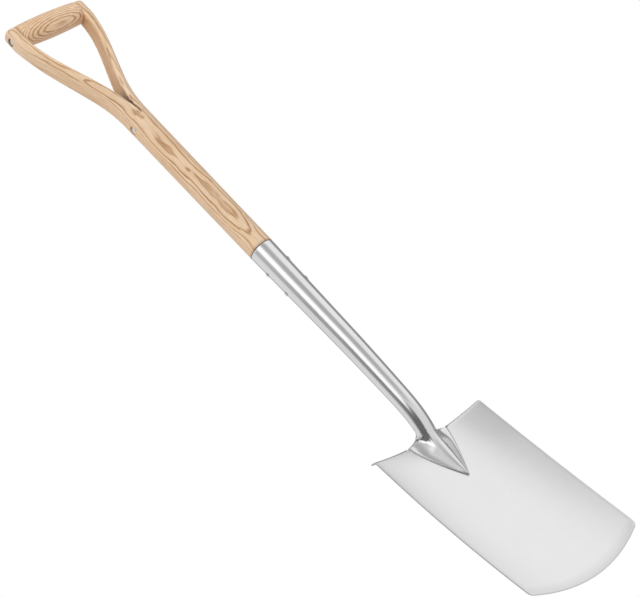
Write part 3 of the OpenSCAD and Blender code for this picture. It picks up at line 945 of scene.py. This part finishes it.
def steel_material(name, grey, rough, uneven, brush, bump, seed):
    """Polished or satin steel: fine brushing of the frequency `brush`, and slow clouds of wear."""
    g = Graph(name)
    place = g.vector("MULTIPLY", g.node("ShaderNodeTexCoord").outputs["Object"], (1 / MM,) * 3)
    place = g.vector("ADD", place, (seed,) * 3)
    brushing = g.noise(place, brush, 4.0, 0.65)
    clouds = g.noise(place, CLOUD, 3.0, 0.55)
    value = g.math("ADD", g.range(brushing, 0.25, 0.75, -CLOUD_DEPTH, CLOUD_DEPTH),
                   g.range(clouds, 0.3, 0.7, -CLOUD_DEPTH, CLOUD_DEPTH))
    tint = g.math("ADD", 0.7, g.math("MULTIPLY", value, 7.0), limit=True)
    tint = g.blend(tint, tuple(c * 0.86 for c in grey), grey)
    shade_and_wear = g.node("ShaderNodeSeparateXYZ", {"Vector": g.attribute("shade_and_wear")}).outputs
    # painted shade on the cut edges
    tint = g.blend(shade_and_wear["X"], tint, EDGE_SHADE_GREY)
    tint = g.blend(g.math("MULTIPLY", shade_and_wear["Y"], 0.28), tint, WORN_STEEL)
    g.feed(g.shader.inputs["Base Color"], tint)
    g.shader.inputs["Metallic"].default_value = 1.0
    wear = g.math("ADD", g.range(brushing, 0.25, 0.75, -uneven, uneven),
                  g.range(clouds, 0.3, 0.7, -uneven, uneven))
    g.feed(g.shader.inputs["Roughness"], g.math("ADD", wear, rough))
    g.feed(g.shader.inputs["Normal"], g.bump(brushing, bump, 0.00003))
    return g.material


# ---------------------------------------------------------------- camera, light and floor
# from here on lengths are in metres and angles in degrees
VIEW_AZIMUTH, VIEW_RISE, VIEW_ROLL = 36.2, 21.7, -43.7
VIEW_DISTANCE = 3.05905
VIEW_TARGET = Vector((0.01326, 0.0, -0.54242))
VIEW_LENS, VIEW_SENSOR = 135, 36
CAMERA_SIDE = VIEW_AZIMUTH + 180  # azimuth of the camera seen from the spade


def direction(azimuth, rise):
    """Unit vector at an azimuth from +Y towards +X and an angle above the horizon, both in degrees."""
    a, e = math.radians(azimuth), math.radians(rise)
    return Vector((math.sin(a) * math.cos(e), math.cos(a) * math.cos(e), math.sin(e)))


def build_camera():
    ahead = direction(VIEW_AZIMUTH, VIEW_RISE)
    level = direction(VIEW_AZIMUTH + 90, 0)
    above = level.cross(ahead)
    roll = math.radians(VIEW_ROLL)
    right = level * math.cos(roll) + above * math.sin(roll)
    up = above * math.cos(roll) - level * math.sin(roll)
    data = bpy.data.cameras.new("camera")
    data.lens, data.sensor_width, data.sensor_fit = VIEW_LENS, VIEW_SENSOR, "HORIZONTAL"
    data.clip_start, data.clip_end = 0.1, 200
    cam = bpy.data.objects.new("camera", data)
    bpy.context.scene.collection.objects.link(cam)
    spot = VIEW_TARGET - ahead * VIEW_DISTANCE
    cam.matrix_world = Matrix.Translation(spot) @ Matrix((right, up, -ahead)).transposed().to_4x4()
    bpy.context.scene.camera = cam


def room_direction(turn, rise):
    """A direction given by its turn from the camera side (positive to the right) and its rise."""
    return direction(CAMERA_SIDE - turn, rise)


WALL_LIGHT = 0.95
# parts of the room that are darker or brighter than the white walls:
# direction, inner and outer angle of the patch, brightness
ROOM = [
    (room_direction(-25, -18), 36, 46, 0.18),
    (room_direction(88, 33), 22, 40, 1.14),
    (room_direction(35, 24), 8, 25, 0.55),
    (room_direction(138, 2), 26, 40, 0.34),
    (room_direction(165, 20), 20, 34, 0.40),
    (room_direction(150, 52), 16, 32, 0.22),
    (room_direction(-165, 18), 18, 34, 0.50),
    (room_direction(187, 43), 8, 18, 1.50),
    (room_direction(-54, 12), 7, 15, 0.34),
    (room_direction(-15, 58), 18, 30, 0.25),
    (room_direction(-10, 22), 13, 22, 1.50),
]


def build_world():
    """White for the camera; the steel and the wood see the room."""
    world = bpy.data.worlds.new("studio")
    bpy.context.scene.world = world
    world.use_nodes = True
    tree = world.node_tree
    tree.nodes.clear()

    def node(kind, **settings):
        n = tree.nodes.new(kind)
        for key, value in settings.items():
            setattr(n, key, value)
        return n

    def lobe(centre, inner, outer):
        """1 within `inner` degrees of a direction, fading to 0 at `outer` degrees."""
        dot = node("ShaderNodeVectorMath", operation="DOT_PRODUCT")
        tree.links.new(coord.outputs["Generated"], dot.inputs[0])
        dot.inputs[1].default_value = centre
        fade = node("ShaderNodeMapRange", interpolation_type="SMOOTHSTEP")
        tree.links.new(dot.outputs["Value"], fade.inputs["Value"])
        fade.inputs["From Min"].default_value = math.cos(math.radians(outer))
        fade.inputs["From Max"].default_value = math.cos(math.radians(inner))
        return fade.outputs[0]

    def over(level, factor, value):
        n = node("ShaderNodeMix", data_type="FLOAT")
        tree.links.new(factor, n.inputs[0])
        if isinstance(level, float):
            n.inputs[2].default_value = level
        else:
            tree.links.new(level, n.inputs[2])
        n.inputs[3].default_value = value
        return n.outputs[0]

    coord = node("ShaderNodeTexCoord")
    level = WALL_LIGHT
    for centre, inner, outer, value in ROOM:
        level = over(level, lobe(centre, inner, outer), value)
    room, white = node("ShaderNodeBackground"), node("ShaderNodeBackground")
    for background in (room, white):
        background.inputs["Color"].default_value = (1, 1, 1, 1)
        background.inputs["Strength"].default_value = 1.0
    tree.links.new(level, room.inputs["Strength"])
    seen = node("ShaderNodeLightPath")
    both = node("ShaderNodeMixShader")
    out = node("ShaderNodeOutputWorld")
    tree.links.new(seen.outputs["Is Camera Ray"], both.inputs[0])
    tree.links.new(room.outputs[0], both.inputs[1])
    tree.links.new(white.outputs[0], both.inputs[2])
    tree.links.new(both.outputs[0], out.inputs["Surface"])


LIGHT_TURN, LIGHT_RISE, LIGHT_DISTANCE = 9, 30, 3.2   # its azimuth is turned from the camera side
LIGHT_SIZE = (2.0, 1.8)
LIGHT_RADIANCE = 2.2
LIGHT_AIM = Vector((0, 0, -0.5))


def build_light():
    data = bpy.data.lights.new("key", "AREA")
    data.shape, data.size, data.size_y = "RECTANGLE", *LIGHT_SIZE
    data.energy = LIGHT_RADIANCE * math.pi * LIGHT_SIZE[0] * LIGHT_SIZE[1]
    obj = bpy.data.objects.new("key", data)
    bpy.context.scene.collection.objects.link(obj)
    toward = direction(CAMERA_SIDE + LIGHT_TURN, LIGHT_RISE)
    obj.location = LIGHT_AIM + toward * LIGHT_DISTANCE
    obj.rotation_mode = "QUATERNION"
    obj.rotation_quaternion = toward.to_track_quat("Z", "Y")
    obj.visible_camera = False
    obj.visible_glossy = False


FLOOR_Z, FLOOR_HALF = -1.80, 30.0
FLOOR_PALE, FLOOR_PALEST = (0.86, 0.86, 0.86), (0.90, 0.90, 0.90)


def build_floor():
    """A plain floor, kept out of the steel's reflections, where the room stands for it."""
    line = steps(-FLOOR_HALF / MM, FLOOR_HALF / MM, 4)
    verts, faces = skin([[(x, y, FLOOR_Z / MM) for x in line] for y in line], False)
    obj = make_mesh("floor", verts, faces, SHARP_STEEL)
    g = Graph("floor_paint")
    place = g.node("ShaderNodeTexCoord").outputs["Object"]
    g.feed(g.shader.inputs["Base Color"], g.blend(g.noise(place, 0.4), FLOOR_PALE, FLOOR_PALEST))
    g.shader.inputs["Roughness"].default_value = 0.8
    obj.data.materials.append(g.material)
    obj.visible_glossy = False


# ---------------------------------------------------------------- the scene
bpy.context.scene.view_settings.view_transform = "Standard"
build_camera()
build_world()
build_floor()
build_light()

# ash: name, heart of the tree, gap between rings and their wander (mm), seed
ash = ash_material("ash", (14.0, 34.0), 2.15, 9.0, 40.0)
bar_pith = (BAR_FACE[0] * BAR_PITH, BAR_FACE[1] * BAR_PITH)
ash_bar = ash_material("ash_bar", bar_pith, 3.0, 9.0, 300.0, BAR_PALE)
# steel: name, grey, roughness and its unevenness, brushing, bump, seed
socket_steel = steel_material("socket_steel", (0.72, 0.72, 0.73), 0.19, 0.02, (0.9, 0.9, 0.05),
                              0.15, 11)
blade_steel = steel_material("blade_steel", (0.78, 0.78, 0.785), 0.32, 0.03, (0.9, 0.9, 0.06),
                             0.15, 31)
# darker grey of the weld: partly the weld's own colour, partly painted shade of the groove along the
# frog's edge
weld_steel = steel_material("weld_steel", (0.56, 0.56, 0.57), 0.36, 0.06, (0.5, 0.5, 0.5), 0.5, 47)
rivet_steel = steel_material("rivet_steel", (0.70, 0.70, 0.71), 0.28, 0.05, (0.6, 0.6, 0.6), 0.4, 59)
washer_steel = steel_material("washer_steel", (0.80, 0.80, 0.81), 0.25, 0.04, (0.7, 0.7, 0.7), 0.3, 73)

build_shaft(ash)
build_crossbar(ash_bar)
build_rods(rivet_steel)
build_washers(washer_steel)
build_socket_rivets(rivet_steel)
build_blade(blade_steel)
build_socket(socket_steel)
build_welds(weld_steel)
